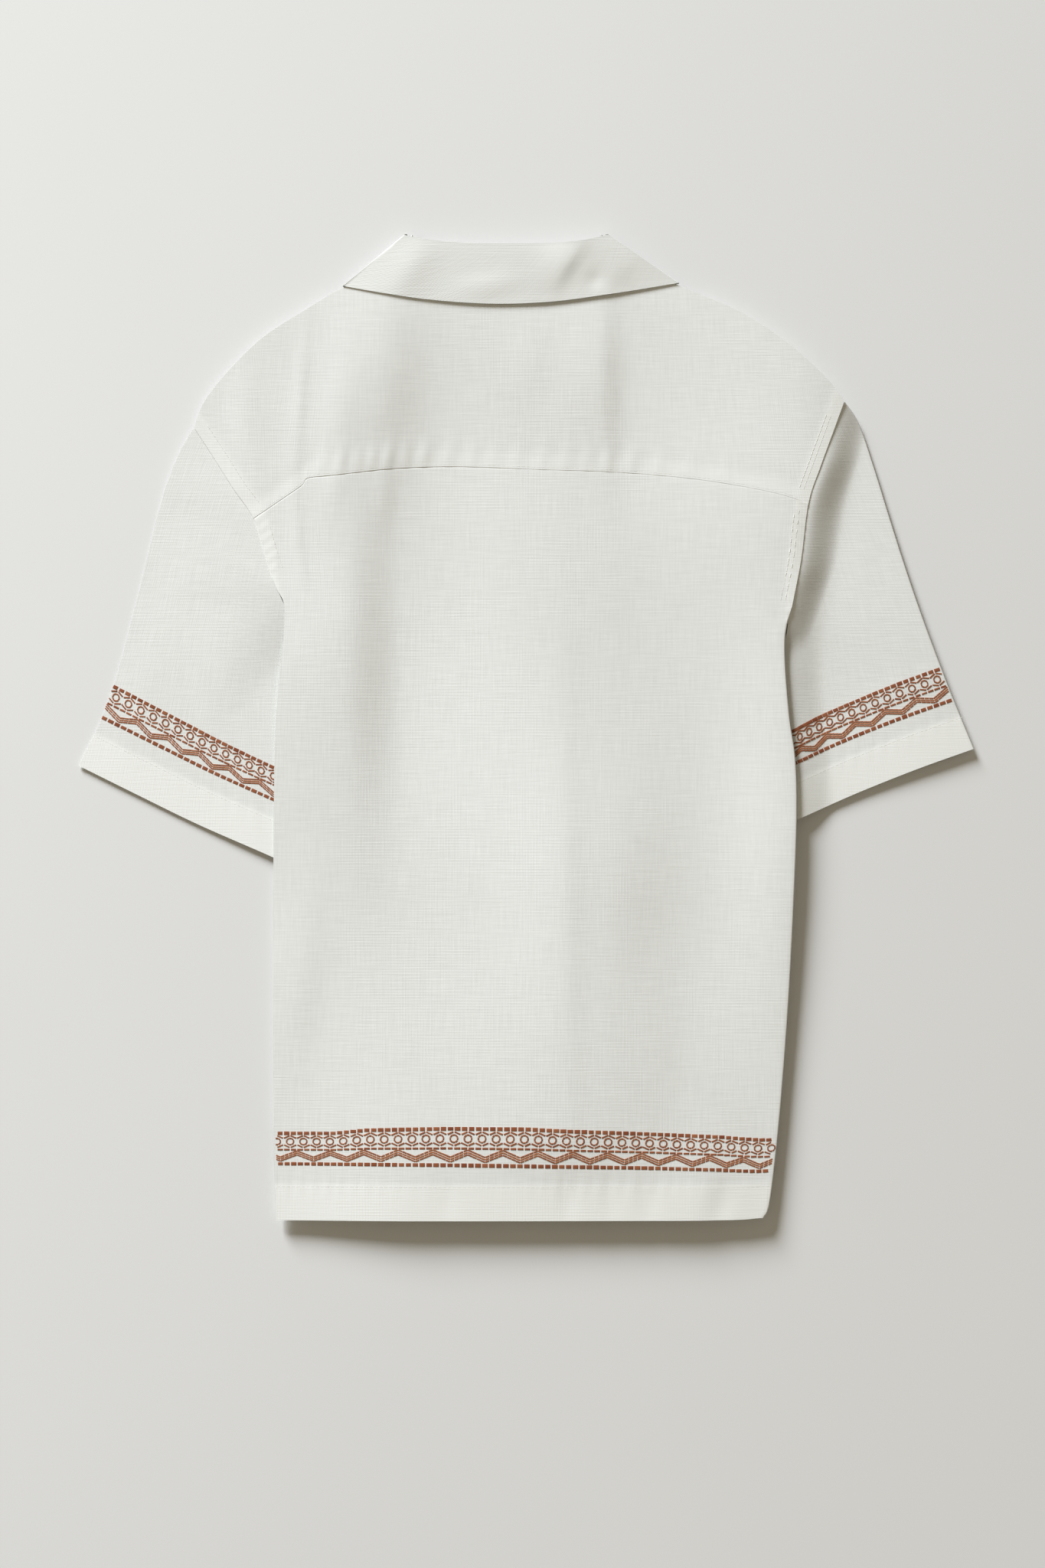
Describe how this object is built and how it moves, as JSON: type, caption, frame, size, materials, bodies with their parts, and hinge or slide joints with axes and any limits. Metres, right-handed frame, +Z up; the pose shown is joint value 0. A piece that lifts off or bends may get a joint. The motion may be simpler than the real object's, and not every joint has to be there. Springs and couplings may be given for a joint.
{
  "type": "button-up shirt",
  "caption": "Short-sleeve button-up shirt laid flat with its back up, its sides tucked under and its collar at the top.",
  "frame": {"origin": "middle of the shirt's outline, on the surface that it lies on", "axes": "+X to the wearer's right, +Y from the hem to the collar, +Z up from the surface towards the back of the shirt"},
  "size_m": [0.6772, 0.744, 0.0143],
  "materials": {
    "linen": "off-white plain-weave linen blend, matt, with slubs; terracotta embroidered borders at the hems",
    "button": "pale shell-like polyester, softly polished"
  },
  "bodies": {
    "root": {"back": "linen", "yoke": "linen", "left_front": "linen", "right_front": "linen", "left_sleeve": "linen", "right_sleeve": "linen", "collar": "linen", "button_1": "button", "button_2": "button", "button_3": "button", "button_4": "button", "button_5": "button", "button_6": "button"}
  },
  "joints": []
}
